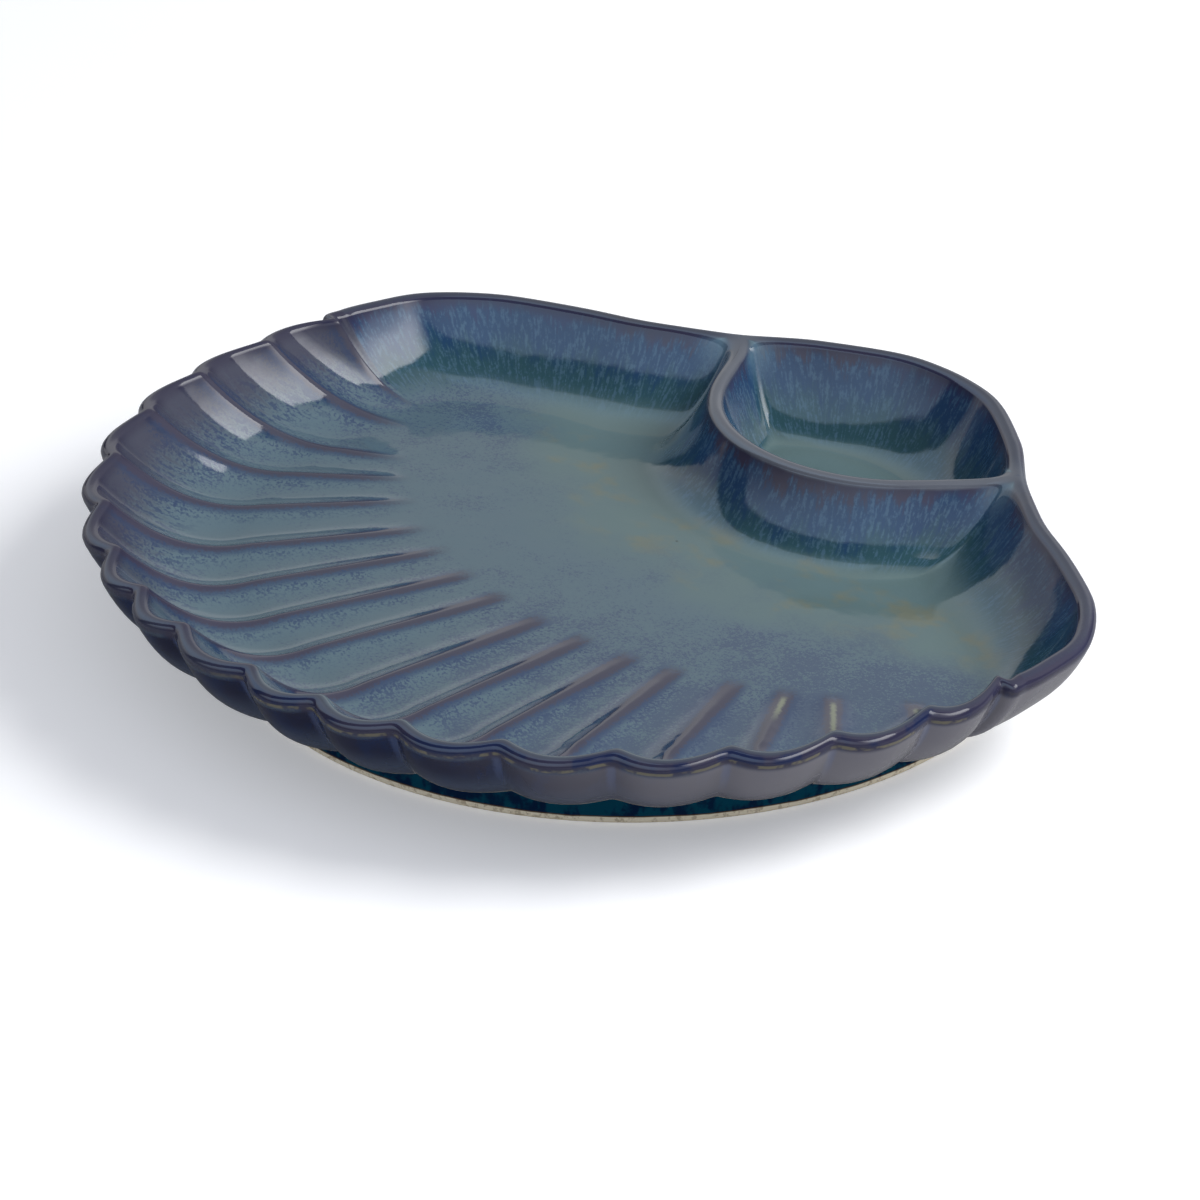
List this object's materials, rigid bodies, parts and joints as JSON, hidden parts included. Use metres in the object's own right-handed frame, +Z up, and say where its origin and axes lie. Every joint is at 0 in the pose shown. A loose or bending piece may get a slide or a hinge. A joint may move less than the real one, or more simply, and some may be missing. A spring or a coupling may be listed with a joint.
{
  "type": "chip and dip platter",
  "caption": "Scallop-shell serving platter with a fluted chip tray, a dip bowl behind a curved divider and a low foot ring.",
  "frame": {"origin": "centre of the bounding box's base, on the table", "axes": "+X along the shell's width, +Y towards the dip bowl at the hinge, +Z up"},
  "size_m": [0.3265, 0.296, 0.045],
  "materials": {
    "reactive_glaze": "gloss",
    "foot_glaze": "gloss"
  },
  "bodies": {
    "root": {"fluted_dish": "reactive_glaze", "dip_bowl": "reactive_glaze", "foot_ring": "foot_glaze"}
  },
  "joints": []
}
